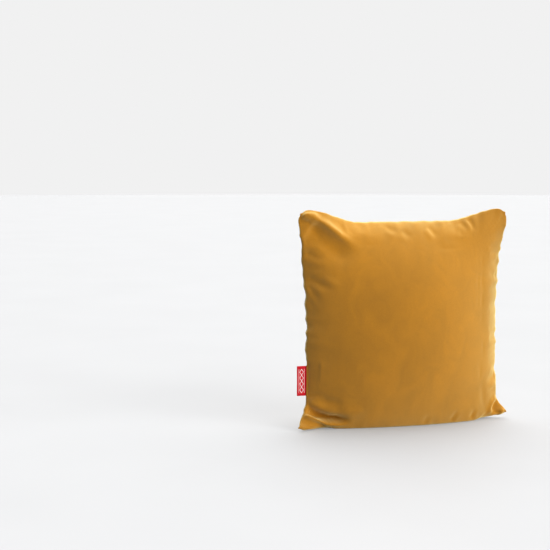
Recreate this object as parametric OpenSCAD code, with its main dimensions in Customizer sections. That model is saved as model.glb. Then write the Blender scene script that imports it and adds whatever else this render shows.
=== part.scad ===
// Square knife-edge throw pillow, standing on its bottom seam.
// X runs along the bottom seam, the front faces -Y, Z is up, and the origin
// is on the floor under the middle of the pillow. Millimetres.

/* [Cover] */
// Distance between the corner tips, across the width
tip_span = 450; // [440:1:460]
// Height of the top corner tips above the floor
tip_height = 436; // [424:1:448]
// How far the sides pull in between their corners
side_dip = 22; // [18:1:26]
// How far the top edge sinks between its corners
top_dip = 25; // [20:1:30]
// Thickness through the crown
crown_thickness = 146; // [130:1:160]
// Velvet with its backing
velvet = 1.2; // [1.1:0.05:1.3]
// Width of the turned-in seam allowance
seam_allowance = 12; // [11:0.5:12.5]
// Height of the zip lips above the floor
lip_height = 7; // [7:0.1:7.4]

/* [Pad] */
// Space between the cover's seam and the pad's seam
pad_inset = 18; // [17.5:0.5:19]
// Cambric of the pad casing
cambric = 0.5; // [0.4:0.05:0.6]

/* [Zip] */
// Length of the zip tapes
tape_length = 320; // [300:2:322]
// Width of one zip tape
tape_width = 13; // [12:0.5:13.5]
// Distance between two teeth of one row
tooth_pitch = 4; // [4:0.1:4.4]
// Length of the pull tab beyond its pivot
pull_length = 26; // [20:1:28]

/* [Labels] */
// Height of the side label, along the seam
label_height = 60; // [50:1:62]
// Height of the side label's lower edge above the floor
label_bottom = 66; // [64:1:70]
// Ribbon that the labels are made of
ribbon = 0.4; // [0.35:0.05:0.45]

/* [Hidden] */

// Colours
ochre = [0.71, 0.48, 0.13];
ochre_thread = [0.66, 0.45, 0.14];
cambric_white = [0.93, 0.92, 0.89];
fibre_white = [0.97, 0.97, 0.96];
label_red = [0.76, 0.06, 0.10];
zip_metal = [0.62, 0.50, 0.26];

// The outline of the seam
tip_half = tip_span / 2;
side_half = tip_half - side_dip;
crown_z = (tip_height - top_dip) / 2;
ear_tip_z = 4;
upper_ear_power = 1.5;
lower_ear_power = 4;
top_ear_power = 2.6;
ear_depth = 40;
// Powers of the swell from the seam to the crown, and of the pad's blunter lower half
swell_power = 0.6;
blunt_power = 0.45;
// Shares of the way from the crown to the bottom seam where the foot starts and ends
foot_start = 0.80;
foot_end = 0.965;
foot_bend = 0.12;
// Shares of the half width over which the foot fades out towards the corners
foot_full = 0.70;
foot_gone = 1.1;

// Slits that the seam leaves between the two panels
closed_gap = 0.2;
zip_gap = 1.0;
label_gap = 0.8;
zip_zone = 0.80;
zone_fade = 0.16;

// A skin is the outside of a panel, as a list of these values: its distance inside
// the seam line, its half thickness at the seam and at the crown, the swell power of
// its lower half, and 1 if it stands on a foot or 0 if it hangs clear.
thread_room = 0.8;
cover_skin = [
    0, closed_gap + 2 * velvet + thread_room, crown_thickness / 2, swell_power, 1
];
pad_clearance = 1.3;
pad_skin = [
    pad_inset, closed_gap + 2 * cambric + thread_room,
    cover_skin[2] - velvet - pad_clearance, blunt_power, 0
];
pad_allowance = 6;
filling_skin = [
    pad_inset + pad_allowance + 2, thread_room,
    pad_skin[2] - cambric - 0.4, blunt_power, 0
];

// Rings of a skin, as shares of the way from the crown to the seam
cover_rings = [0.22, 0.42, 0.57, 0.7, foot_start, 0.9, foot_end, 0.988];
pad_rings = [0.22, 0.42, 0.59, 0.73, 0.84, 0.92, 0.97];
cover_side_points = 20;
pad_side_points = 14;
// How far the points of a side crowd towards its corners
crowding = 0.25;
// Rings of the seam: round the rim, and on the two faces of the turned-in allowance
rim_middle = 0.3;
fold_outside = 0.2;
fold_inside = 0.4;

// Heights of the zip's layers above the floor
skim = 0.05;
tape_z = lip_height + 2 * velvet + skim;
tape_thickness = 0.5;
teeth_z = tape_z + tape_thickness + skim;
tooth_height = 2;
tape_edge = 1.2;
tooth_head = 0.9;
tooth_root = 3.4;
tooth_thickness = 1.5;
tape_stitch_row = tape_edge + 0.6 * tape_width;

// Places along the zip, with its closed end at +X
slider_x = tape_length / 2 - 25;
first_tooth = 22 - tape_length / 2;
last_tooth = slider_x + 1;
top_stop_x = slider_x + 7.5;
top_stop_length = 2.4;
top_stop_gap = 0.3;
bottom_stop_length = 3.6;
bottom_stop_x = first_tooth - 1.8 - bottom_stop_length;

// The slider at the closed end of the zip
slider_length = 10;
slider_half_width = 4.8;
slider_wall = 1;
running_gap = 0.35;
neck_half = 0.6;
neck_length = 2;
neck_inset = 0.4;
outer_plate = [9, 4.4, 1];
outer_plate_z = 4.9;
arch_bar = 0.9;
arch_post = 1;
arch_inset = 0.3;
arch_half_width = 0.7;
arch_floor = 1.2;
pivot_z = 3.4;
pivot_radius = 0.5;
pull_thickness = 1.2;
pull_half_width = 2.9;
pull_slot = 5.8;
pull_arm_gap = 1.1;
pull_arm_end = 1;
pull_hole_x = pull_half_width + 0.4 - pull_length;
pull_hole_radius = 1.1;

// The side label and its sewn-in tail
label_pivot_x = -(side_half + 5.6);
label_half_thickness = 0.6;
label_end_x = -tip_half;
label_web = 1;
label_tail_end_x = label_pivot_x + label_half_thickness + 0.3;
label_tail_start_x = -(side_half - 9);
// Room for the label in the seam past its two ends, and how far the slit fades out there
label_room = 3;
label_fade = 20;

// The labels inside, each as the [u, v] centre and half sizes of a patch of a skin
care_patch = [-0.72, -0.35, 0.1, 0.11];
care_clearance = 1;
pad_patch = [0.55, 0.3, 0.08, 0.12];
pad_patch_clearance = 0.3;

// The sewing
thread = 0.6;
stitch = 5;
stitch_pitch = 8;
cover_stitch_depth = 3;
pad_stitch_depth = 2.5;
// Stretches of the seam that are stitched, as shares of the way round it from the
// lower left corner. They leave out the corners, the zip and the side label.
cover_spans = [[0.256, 0.493], [0.505, 0.743], [0.755, 0.885]];
pad_spans = [for (side = [0 : 3]) [0.25 * side + 0.006, 0.25 * side + 0.24]];

function smooth(t) = let (c = min(max(t, 0), 1)) c * c * (3 - 2 * c);

function mix(a, b, share) = a + (b - a) * share;

// Point i of the edge of a square that reaches 1 each way, anticlockwise from its
// lower left corner, with n points to a side
function square_edge(i, n, crowd = crowding) =
    let (side = floor(i / n), even = 2 * (i % n) / n - 1, t = even * (1 + crowd * (1 - even * even)))
    side == 0 ? [t, -1] : side == 1 ? [1, t] : side == 2 ? [-t, 1] : [-1, -t];

// The seam outline at (u, v) of that square, inset towards the middle: [x, z]. The
// further in it is, the less it runs out into the corners.
function outline(u, v, inset) =
    let (
        ears = max(0, 1 - inset / ear_depth),
        side = ears * side_dip * pow(abs(v), v > 0 ? upper_ear_power : lower_ear_power)
    )
    [
        u * (side_half - inset + side),
        v > 0
            ? crown_z + v * (crown_z - inset + ears * top_dip * pow(abs(u), top_ear_power))
            : crown_z + v * (crown_z - inset - ear_tip_z)
    ];

// How much of the foot is there, from 1 in the middle to a little at the corners
function foot_share(u) = 1 - smooth((abs(u) - foot_full) / (foot_gone - foot_full));

// The height of the foot: down to the floor, flat, and up to the lip
function foot_z(v) =
    crown_z * max(0, 1 + v / foot_start)
    + lip_height * smooth((-v - foot_end) / (1 - foot_end));

// The point of a skin at (u, v), on its +Y half
function skin_point(u, v, skin) =
    let (
        plan = outline(u, v, skin[0]),
        swell = pow(1 - u * u, swell_power) * pow(1 - v * v, v > 0 ? swell_power : skin[3]),
        foot = v > 0 ? 0 : skin[4] * foot_share(u)
    )
    [plan[0], mix(skin[1], skin[2], swell), mix(plan[1], foot_z(v), foot)];

// The point that lies depth behind a skin at (u, v): straight behind it in the
// panel, and straight above it in the foot
function under_skin(u, v, skin, depth) =
    let (
        down = skin[4] * foot_share(u) * smooth((-v - foot_start) / foot_bend + 0.5),
        turn = v > 0 ? 0 : 90 * down
    )
    skin_point(u, v, skin) + depth * [0, -cos(turn), sin(turn)];

function skin_ring(share, skin, depth, n) = [
    for (i = [0 : 4 * n - 1])
        let (e = square_edge(i, n) * share)
        under_skin(e[0], e[1], skin, depth)
];

// 1 along the zip, and 0 round the rest of the seam
function zip_share(e) = e[1] > -1 ? 0 : 1 - smooth((abs(e[0]) - zip_zone) / zone_fade);

// 1 along the side label, and 0 round the rest of the seam
function label_share(e) =
    let (z = outline(e[0], e[1], 0)[1], middle = label_bottom + label_height / 2)
    e[0] > -1 ? 0 : 1 - smooth((abs(z - middle) - label_height / 2 - label_room) / label_fade);

// Half the slit that the seam leaves at e
function half_gap(e) =
    closed_gap
    + (zip_gap - closed_gap) * zip_share(e)
    + (label_gap - closed_gap) * label_share(e);

// A ring of the turned-in allowance. It starts at the seam, lies against the other
// panel, and turns flat along the zip. depth is how far in the ring is, and rise is
// its height over the allowance's own side.
function allowance_ring(depth, rise, skin, thickness, n, zipped) = [
    for (i = [0 : 4 * n - 1])
        let (
            e = square_edge(i, n),
            gap = zipped ? half_gap(e) : closed_gap,
            turn = zipped ? 90 * zip_share(e) : 0,
            seam = skin_point(e[0], e[1], skin),
            inner = e * (1 - (depth + thickness) / side_half),
            inward = outline(inner[0], inner[1], skin[0]) - outline(e[0], e[1], skin[0]),
            along = cos(turn) * inward,
            up = sin(turn) * (thickness + rise)
        )
        [
            seam[0] + along[0],
            gap + thickness - cos(turn) * rise + sin(turn) * depth,
            seam[2] + along[1] + up
        ]
];

// The rim where the outside turns in to the seam
function rim_ring(skin, share, n, zipped) = [
    for (i = [0 : 4 * n - 1])
        let (e = square_edge(i, n), seam = skin_point(e[0], e[1], skin))
        [seam[0], mix(zipped ? half_gap(e) : closed_gap, seam[1], share), seam[2]]
];

// A closed solid through rings of equal length, from one pole to the other. The
// quads of its two halves are split the same way, so a thin wall never crosses itself.
module ring_solid(first_pole, rings, last_pole) {
    m = len(rings[0]);
    last = len(rings) * m + 1;
    points = concat([first_pole], [for (ring = rings) for (p = ring) p], [last_pole]);
    polyhedron(points, concat(
        [for (i = [0 : m - 1]) [0, 1 + i, 1 + (i + 1) % m]],
        [
            for (k = [0 : len(rings) - 2], i = [0 : m - 1])
                let (a = 1 + k * m + i, b = 1 + k * m + (i + 1) % m)
                each k < len(rings) / 2
                    ? [[a, a + m, b], [b, a + m, b + m]]
                    : [[a, a + m, b + m], [a, b + m, b]]
        ],
        [for (i = [0 : m - 1]) [last, last - m + (i + 1) % m, last - m + i]]
    ));
}

// The +Y panel of a cover or casing: outside, rim, allowance and inside
module panel(skin, thickness, allowance, shares, n, zipped) {
    ring_solid(
        skin_point(0, 0, skin),
        concat(
            [for (s = shares) skin_ring(s, skin, 0, n)],
            [rim_ring(skin, rim_middle, n, zipped), rim_ring(skin, 0, n, zipped)],
            [
                allowance_ring(fold_outside, thickness, skin, thickness, n, zipped),
                allowance_ring(allowance, thickness, skin, thickness, n, zipped),
                allowance_ring(allowance, 0, skin, thickness, n, zipped),
                allowance_ring(fold_inside, 0, skin, thickness, n, zipped)
            ],
            [for (k = [len(shares) - 1 : -1 : 0]) skin_ring(shares[k], skin, thickness, n)]
        ),
        under_skin(0, 0, skin, thickness)
    );
}

module front() {
    mirror([0, 1, 0]) children();
}

module cover_back_panel() {
    color(ochre)
        panel(cover_skin, velvet, seam_allowance, cover_rings, cover_side_points, true);
}

module cover_front_panel() {
    front() cover_back_panel();
}

module pad_back_panel() {
    color(cambric_white)
        panel(pad_skin, cambric, pad_allowance, pad_rings, pad_side_points, false);
}

module pad_front_panel() {
    front() pad_back_panel();
}

module pad_filling() {
    n = pad_side_points;
    half = [for (s = pad_rings) skin_ring(s, filling_skin, 0, n)];
    edge = [for (p = rim_ring(filling_skin, 0, n, false)) [p[0], 0, p[2]]];
    other = [for (ring = half) [for (p = ring) [p[0], -p[1], p[2]]]];
    color(fibre_white)
        ring_solid(
            [0, filling_skin[2], crown_z],
            concat(half, [edge], [for (k = [len(other) - 1 : -1 : 0]) other[k]]),
            [0, -filling_skin[2], crown_z]
        );
}

// A stitch that lies between two points
module stitch_between(a, b) {
    d = b - a;
    translate(a)
        rotate([0, acos(d[2] / norm(d)), atan2(d[1], d[0])])
            cylinder(d = thread, h = norm(d), $fn = 24);
}

// Stitches along the seam line of a skin, on the inner faces of both allowances.
// spans lists the stretches of the square's edge as [start, end] in turns.
module seam_stitches(skin, depth, thickness, zipped, spans) {
    length = 8 * side_half;
    inset = depth / side_half;
    for (side = [-1, 1], span = spans, k = [span[0] * length : stitch_pitch : span[1] * length])
        let (
            e = square_edge(k / length * 4, 1, 0),
            f = square_edge((k + stitch) / length * 4, 1, 0),
            gap = zipped ? half_gap(e) : closed_gap,
            y = side * (gap + thickness + thread / 2 + skim),
            a = skin_point(e[0] * (1 - inset), e[1] * (1 - inset), skin),
            b = skin_point(f[0] * (1 - inset), f[1] * (1 - inset), skin)
        )
        stitch_between([a[0], y, a[2]], [b[0], y, b[2]]);
}

module cover_seam_stitches() {
    color(ochre_thread)
        seam_stitches(cover_skin, cover_stitch_depth, velvet, true, cover_spans);
}

module pad_seam_stitches() {
    color(cambric_white)
        seam_stitches(pad_skin, pad_stitch_depth, cambric, false, pad_spans);
}

module zip_tape_back() {
    color(ochre)
        translate([-tape_length / 2, tape_edge, tape_z])
            cube([tape_length, tape_width, tape_thickness]);
}

module zip_tape_front() {
    front() zip_tape_back();
}

module tooth() {
    linear_extrude(tooth_height) {
        circle(r = tooth_head, $fn = 32);
        translate([-tooth_thickness / 2, 0]) square([tooth_thickness, tooth_root]);
    }
}

module teeth(first) {
    color(ochre_thread)
        for (x = [first : tooth_pitch : last_tooth])
            translate([x, 0, teeth_z]) tooth();
}

module zip_teeth_back() {
    teeth(first_tooth);
}

module zip_teeth_front() {
    front() teeth(first_tooth + tooth_pitch / 2);
}

// Two crimps, one on each tape, where the slider stops when the zip is closed
module zip_top_stops() {
    color(zip_metal)
        for (y = [tape_edge + top_stop_gap, -tooth_root - top_stop_gap])
            translate([top_stop_x, y, teeth_z])
                cube([top_stop_length, tooth_root - tape_edge, tooth_height]);
}

module zip_bottom_stop() {
    color(zip_metal)
        translate([bottom_stop_x, -tooth_root, teeth_z])
            cube([bottom_stop_length, 2 * tooth_root, tooth_height]);
}

module zip_stitches() {
    reach = tape_length / 2 - stitch;
    color(ochre_thread)
        for (side = [-1, 1], x = [-reach : stitch_pitch : reach - stitch])
            translate([x, side * tape_stitch_row, tape_z + tape_thickness + thread / 2 + skim])
                rotate([0, 90, 0]) cylinder(d = thread, h = stitch, $fn = 24);
}

// The slider's channel runs over the teeth inside the cover, and its neck passes
// between the lips to the arch that holds the pull
module zip_slider() {
    roof_z = teeth_z + tooth_height + running_gap;
    skirt_z = tape_z + tape_thickness + running_gap;
    color(zip_metal)
        translate([slider_x, 0, 0]) {
            translate([-slider_length / 2, -slider_half_width, roof_z])
                cube([slider_length, 2 * slider_half_width, slider_wall]);
            for (y = [-slider_half_width, slider_half_width - slider_wall])
                translate([-slider_length / 2, y, skirt_z])
                    cube([slider_length, slider_wall, roof_z - skirt_z + slider_wall / 2]);
            translate([slider_length / 2 - neck_inset - neck_length, -neck_half, outer_plate_z])
                cube([neck_length, 2 * neck_half, roof_z - outer_plate_z + slider_wall / 2]);
            translate([-outer_plate[0] / 2, -outer_plate[1] / 2, outer_plate_z])
                cube(outer_plate);
            zip_arch();
        }
}

// The arch under the outer plate, open across the track
module zip_arch() {
    length = outer_plate[0] - 2 * arch_inset;
    top = outer_plate_z + outer_plate[2] / 2;
    rotate([90, 0, 0])
        linear_extrude(2 * arch_half_width, center = true)
            difference() {
                translate([-length / 2, arch_floor]) square([length, top - arch_floor]);
                translate([-length / 2 + arch_post, arch_floor + arch_bar])
                    square([length - 2 * arch_post, outer_plate_z - arch_floor - arch_bar]);
            }
}

// The pull turns on its crossbar, which passes through the arch
module zip_pull() {
    round_end = pull_half_width - pull_length;
    color(zip_metal)
        translate([slider_x, 0, pivot_z]) {
            rotate([90, 0, 0])
                cylinder(r = pivot_radius, h = pull_half_width + pull_arm_gap, center = true, $fn = 48);
            translate([0, 0, -pull_thickness / 2])
                linear_extrude(pull_thickness)
                    difference() {
                        union() {
                            translate([round_end, -pull_half_width])
                                square([pull_arm_end - round_end, 2 * pull_half_width]);
                            translate([round_end, 0]) circle(r = pull_half_width, $fn = 64);
                        }
                        translate([-pull_slot, -pull_arm_gap])
                            square([pull_slot + 2 * pull_arm_end, 2 * pull_arm_gap]);
                        translate([pull_hole_x, 0]) circle(r = pull_hole_radius, $fn = 48);
                    }
        }
}

// A loop of folded ribbon: two layers from the pivot, joined by a round fold
module side_label() {
    r = label_half_thickness;
    color(label_red)
        translate([0, 0, label_bottom])
            linear_extrude(label_height)
                difference() {
                    union() {
                        translate([label_pivot_x, 0]) circle(r = r, $fn = 32);
                        translate([label_end_x + r, -r])
                            square([label_pivot_x - label_end_x - r, 2 * r]);
                        translate([label_end_x + r, 0]) circle(r = r, $fn = 32);
                    }
                    translate([label_end_x + r, ribbon - r])
                        square([label_pivot_x - label_end_x - r - label_web, 2 * (r - ribbon)]);
                    translate([label_end_x + r, 0]) circle(r = r - ribbon, $fn = 32);
                }
}

// The ribbon's two ends, held between the seam allowances
module side_label_tail() {
    color(label_red)
        for (y = [-label_half_thickness, label_half_thickness - ribbon])
            translate([label_tail_end_x, y, label_bottom])
                cube([label_tail_start_x - label_tail_end_x, ribbon, label_height]);
}

// A ribbon that lies at a depth under a skin. patch is its [u, v] centre and half
// sizes, and steps says how many pieces it has each way.
module ribbon_patch(skin, depth, patch, steps) {
    grid = [
        for (layer = [0, 1], j = [0 : steps[1]], i = [0 : steps[0]])
            under_skin(
                patch[0] + patch[2] * (2 * i / steps[0] - 1),
                patch[1] + patch[3] * (2 * j / steps[1] - 1),
                skin, depth + layer * ribbon
            )
    ];
    w = steps[0] + 1;
    top = w * (steps[1] + 1);
    edge = concat(
        [for (i = [0 : steps[0] - 1]) i],
        [for (j = [0 : steps[1] - 1]) j * w + steps[0]],
        [for (i = [steps[0] : -1 : 1]) steps[1] * w + i],
        [for (j = [steps[1] : -1 : 1]) j * w]
    );
    polyhedron(grid, concat(
        [
            for (j = [0 : steps[1] - 1], i = [0 : steps[0] - 1])
                let (a = j * w + i)
                each [[a, a + 1, a + w], [a + 1, a + w + 1, a + w]]
        ],
        [
            for (j = [0 : steps[1] - 1], i = [0 : steps[0] - 1])
                let (a = top + j * w + i)
                each [[a, a + w, a + 1], [a + 1, a + w, a + w + 1]]
        ],
        [
            for (k = [0 : len(edge) - 1])
                let (a = edge[k], b = edge[(k + 1) % len(edge)])
                each [[a, a + top, b], [b, a + top, b + top]]
        ]
    ));
}

module care_label() {
    color(cambric_white)
        front() ribbon_patch(cover_skin, velvet + care_clearance, care_patch, [5, 6]);
}

module pad_label() {
    color(fibre_white)
        ribbon_patch(pad_skin, -pad_patch_clearance - ribbon, pad_patch, [4, 6]);
}

cover_front_panel();
cover_back_panel();
cover_seam_stitches();
zip_tape_front();
zip_tape_back();
zip_teeth_front();
zip_teeth_back();
zip_top_stops();
zip_bottom_stop();
zip_stitches();
zip_slider();
zip_pull();
side_label();
side_label_tail();
care_label();
pad_front_panel();
pad_back_panel();
pad_seam_stitches();
pad_filling();
pad_label();
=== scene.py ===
import math

import bmesh
import bpy
import numpy as np
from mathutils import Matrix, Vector, noise


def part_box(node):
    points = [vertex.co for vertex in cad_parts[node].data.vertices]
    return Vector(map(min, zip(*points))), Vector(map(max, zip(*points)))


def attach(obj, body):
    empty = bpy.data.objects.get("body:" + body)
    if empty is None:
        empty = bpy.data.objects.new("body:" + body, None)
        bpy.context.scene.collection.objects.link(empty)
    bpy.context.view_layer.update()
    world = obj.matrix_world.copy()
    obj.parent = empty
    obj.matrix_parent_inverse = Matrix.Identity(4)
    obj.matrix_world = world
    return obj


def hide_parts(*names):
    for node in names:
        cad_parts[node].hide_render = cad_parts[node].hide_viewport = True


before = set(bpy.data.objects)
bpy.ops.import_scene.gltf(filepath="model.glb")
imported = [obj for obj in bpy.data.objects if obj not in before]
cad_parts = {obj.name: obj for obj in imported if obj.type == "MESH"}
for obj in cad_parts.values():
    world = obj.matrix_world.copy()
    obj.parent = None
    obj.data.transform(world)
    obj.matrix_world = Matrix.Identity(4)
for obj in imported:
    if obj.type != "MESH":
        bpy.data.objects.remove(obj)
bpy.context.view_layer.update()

# A square knife-edge velvet pillow on its bottom seam. Metres, in the CAD model's frame: X runs
# along the bottom seam, the front faces -Y, and Z is up.

MM = 0.001

# The cover's outline, from its CAD panels
COVER_LOW, COVER_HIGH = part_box("cover_front_panel")
TIP_HALF = COVER_HIGH.x
TIP_Z = COVER_HIGH.z
CROWN = -COVER_LOW.y
SIDE_DIP = 22 * MM
TOP_DIP = 25 * MM
EAR_TIP_Z = 4 * MM
SIDE_HALF = TIP_HALF - SIDE_DIP
MID_Z = (TIP_Z - TOP_DIP) / 2
# Each panel was cut to this square, between its seams, with this allowance round it
CUT = 450 * MM
VELVET = 0.9 * MM

# The top edge rises to its ears between these shares of the way out from the middle
HORN_START, HORN_END = 0.42, 0.93
# The sides pull in by these powers of the way up or down from the middle
DIP_POWER_TOP_LEFT, DIP_POWER_TOP_RIGHT, DIP_POWER_BOTTOM = 1.5, 2.4, 7.0

# How the stuffed panels swell: a power of the whole, and powers of the way up and down
SWELL_POWER = 0.72
SWELL_POWER_UP, SWELL_POWER_DOWN = 2, 2.6

# The foot that the pillow stands on, in shares of the way down from the crown: where the cloth
# reaches the floor, and where it turns up to the zip seam in a groove
FOOT_START, FOOT_END = 0.80, 0.965
SEAM_LIFT = 8.2 * MM
# The groove parts the panels this much, from these shares of the way down to just off the seam
GROOVE = 1.6 * MM
GROOVE_START, GROOVE_FADE, GROOVE_TO_SEAM = 0.5, 0.3, 0.015
# It fades from this share of the way to the corners, over this much more of it
FOOT_FADE_START, FOOT_FADE = 0.70, 0.40
# The zip runs this share of the way to the corners, and its seam closes over this share more
ZIP_REACH, ZIP_FADE = 0.80, 0.05
# Cloth that rests on the floor is pressed this flat
FLOOR_PRESS = 0.8 * MM

# Cells along a side of a panel, before it is refined, and how far they crowd outwards
CELLS = 76
CROWD = 0.22

LABEL_LOW, LABEL_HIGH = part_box("side_label")
LABEL_MIDDLE = (LABEL_LOW.z + LABEL_HIGH.z) / 2
LABEL_HALF = (LABEL_HIGH.z - LABEL_LOW.z) / 2


# ---------------------------------------------------------------- small helpers

def smooth(t):
    t = np.clip(t, 0, 1)
    return t * t * (3 - 2 * t)


def rising(value, start, length):
    """0 up to start, then smoothly up to 1 over length."""
    return smooth((value - start) / length)


def mix(a, b, share):
    return a + (b - a) * share


def unit(a):
    return a / np.maximum(np.linalg.norm(a, axis=-1, keepdims=True), 1e-12)


def spacing(cells):
    """Places from -1 to 1 along a side, a little closer together towards its ends."""
    t = np.linspace(-1, 1, cells + 1)
    return t + CROWD * t * (1 - t * t)


def square(cells):
    """A grid of (u, v) over a panel."""
    places = spacing(cells)
    return np.meshgrid(places, places, indexing="ij")


def wander(points, scale, seed):
    """Smooth noise from -1 to 1 at points, which are in metres. scale is in waves a metre."""
    flat = points.reshape(-1, 3)
    shift = Vector((17.3 * seed, -9.1 * seed, 5.7 * seed))
    values = [noise.noise(Vector(p) * scale + shift) for p in flat]
    return np.array(values).reshape(points.shape[:-1])


def collection_add(obj):
    bpy.context.scene.collection.objects.link(obj)
    return obj


def mesh_object(name, vertices, faces, body, slot):
    mesh = bpy.data.meshes.new(name)
    mesh.from_pydata([tuple(v) for v in vertices], [], faces)
    mesh.validate()
    mesh.polygons.foreach_set("use_smooth", [True] * len(mesh.polygons))
    mesh.materials.append(MATERIALS[slot])
    obj = collection_add(bpy.data.objects.new(name, mesh))
    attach(obj, body)
    return obj


def thicken(obj, thickness, offset=-1):
    """Gives a sheet its thickness: behind its outer face, or on both sides where offset is 0."""
    solid = obj.modifiers.new("thickness", "SOLIDIFY")
    solid.thickness = thickness
    solid.offset = offset
    apply_modifiers(obj)


def apply_modifiers(obj):
    graph = bpy.context.evaluated_depsgraph_get()
    graph.update()
    made = bpy.data.meshes.new_from_object(obj.evaluated_get(graph))
    obj.modifiers.clear()
    obj.data = made


# ---------------------------------------------------------------- the cover's shape

def outline(u, v):
    """x and z of the seam's plane at (u, v), where the seam is the square that reaches 1."""
    above = v > 0
    upper = np.where(u < 0, DIP_POWER_TOP_LEFT, DIP_POWER_TOP_RIGHT)
    side = SIDE_DIP * np.abs(v) ** np.where(above, upper, DIP_POWER_BOTTOM)
    x = u * (SIDE_HALF + side)
    rise = TOP_DIP * rising(np.abs(u), HORN_START, HORN_END - HORN_START)
    z = MID_Z + v * np.where(above, MID_Z + rise, MID_Z - EAR_TIP_Z)
    return x, z


def foot_share(u):
    """How much of the foot is there, from 1 in the middle to a little at the corners."""
    return 1 - rising(np.abs(u), FOOT_FADE_START, FOOT_FADE)


def stuffed(u, v, side):
    """The stuffed cover at (u, v), before its cloth settles. side is -1 in front and 1 behind."""
    x, z = outline(u, v)
    upright = 1 - np.abs(v) ** np.where(v > 0, SWELL_POWER_UP, SWELL_POWER_DOWN)
    swell = ((1 - u * u) * upright) ** SWELL_POWER
    standing = MID_Z * np.maximum(0, 1 + v / FOOT_START)
    standing += SEAM_LIFT * rising(-v, FOOT_END, 1 - FOOT_END)
    z = np.where(v > 0, z, mix(z, standing, foot_share(u)))
    groove = GROOVE * foot_share(u) * smooth((1 + v) / GROOVE_TO_SEAM)
    groove *= rising(-v, GROOVE_START, GROOVE_FADE)
    return np.stack([x, side * (CROWN * swell + groove), z], -1)


def cut_flat(u, v, side):
    """Where (u, v) lay when the panel was flat, as cut."""
    return np.stack([u * CUT / 2, side * MM + 0 * u, (1 + v) * CUT / 2], -1)


def distance_to(u, v, corner):
    """Metres along the cloth to a corner of the square."""
    return np.hypot(u - corner[0], v - corner[1]) * CUT / 2


def corner_weight(u, v, corner, reach):
    """1 at a corner of the square, fading to 0 at reach metres from it along the cloth."""
    return smooth(1 - distance_to(u, v, corner) / reach)


# How each corner leans: its place in the square, how far along the cloth that reaches in metres,
# and the shift of its tip in millimetres
EARS = [
    ((-1, 1), 0.11, (-1, -7, 0)),
    ((1, 1), 0.12, (1, -5, -2)),
    ((-1, -1), 0.064, (-11, -28, -4)),
    ((1, -1), 0.055, (8, -12, 2)),
]
TIP_ROUNDING = 8.5 * MM
TIP_REACH = 13 * MM


def shape_ears(points, u, v):
    """Leans each corner as the stuffed pillow carries it, and rounds its tip."""
    for corner, reach, shift in EARS:
        points = points + corner_weight(u, v, corner, reach)[..., None] * np.array(shift) * MM
        away = distance_to(u, v, corner)
        inward = np.array([-corner[0], 0, -corner[1]]) * math.sqrt(0.5) * TIP_ROUNDING
        points = points + np.exp(-((away / TIP_REACH) ** 2))[..., None] * inward
    return points


# How far the seam sways sideways and in and out as it puckers: over waves of a few lengths, in
# waves a metre, and for the cloth within a reach of the seam
SWAY = 5.5 * MM
SIDE_SCALLOP, END_SCALLOP = 2.8 * MM, 1.6 * MM
LONG_WAVE, SHORT_WAVE, SCALLOP_WAVE = 34, 70, 42
PUCKER_REACH = 30 * MM
# How far up and down from the label's middle the seam is held still, and how far it stays smooth
LABEL_HOLD, LABEL_SMOOTH, LABEL_FADE = 30 * MM, 32 * MM, 20 * MM


def pucker_share(u, v):
    """Where the seam may pucker: not along the zip, under the label, or at the very tips."""
    z = stuffed(u, v, 1)[..., 2]
    label = rising(np.abs(z - LABEL_MIDDLE), LABEL_SMOOTH, LABEL_FADE)
    beside_label = np.where(u < -0.9, label, 1.0)
    foot = 1 - rising(-v, 0.75, 0.2) * (1 - rising(np.abs(u), 0.82, 0.12))
    tips = 1 - np.minimum(1, (np.abs(u) * np.abs(v)) ** 8)
    return beside_label * foot * tips


def seed_puckers(points, u, v):
    """Sends the seam, and the cloth near it, gently to and fro, so its spare length puckers."""
    along = np.where(np.abs(u) > np.abs(v), v, u) * CUT / 2
    side_number = np.where(np.abs(u) > np.abs(v), np.sign(u), 3 * np.sign(v))
    edge = np.maximum(np.abs(u), np.abs(v))
    near = np.exp(-(1 - edge) * CUT / 2 / PUCKER_REACH)
    key = np.stack([along, side_number * 0.7, 0 * along], -1)
    sway = wander(key, LONG_WAVE, 1) + 0.6 * wander(key, SHORT_WAVE, 2)
    scallop = 1 - 2 * np.abs(wander(key, SCALLOP_WAVE, 3)) ** 0.7
    share = pucker_share(u, v) * near
    across = np.abs(u) > np.abs(v)
    out = points.copy()
    out[..., 0] += np.where(across, np.sign(u), 0) * SIDE_SCALLOP * scallop * share
    out[..., 1] += SWAY * sway * share
    out[..., 2] += np.where(across, 0, np.sign(v)) * END_SCALLOP * scallop * share
    return out


SETTLE_STEPS = 14
SETTLE_CAP = 16 * MM
TIP_HOLD = 50 * MM


def held_share(u, v):
    """How firmly the cloth is held while it settles: the foot, the label's seam and the tips."""
    foot = foot_share(u) * rising(-v, 0.72, 0.10)
    z = stuffed(u, v, 1)[..., 2]
    beside_label = smooth(1 - (np.abs(z - LABEL_MIDDLE) - LABEL_HOLD) / LABEL_FADE)
    label = np.where(u < -0.93, beside_label, 0)
    tips = sum(corner_weight(u, v, corner, TIP_HOLD) for corner, _, _ in EARS)
    return np.clip(foot + label + tips, 0, 1)


def shell(front, back):
    """Vertices and faces of two panels that share their rim, and their grids of vertex numbers."""
    n = len(front) - 1
    number = np.arange((n + 1) ** 2).reshape(n + 1, n + 1)
    number_back = number.copy()
    number_back[1:-1, 1:-1] = (n + 1) ** 2 + np.arange((n - 1) ** 2).reshape(n - 1, n - 1)
    vertices = np.concatenate([front.reshape(-1, 3), back[1:-1, 1:-1].reshape(-1, 3)])
    faces = grid_faces(number, False) + grid_faces(number_back, True)
    return vertices, faces, (number, number_back)


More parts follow.
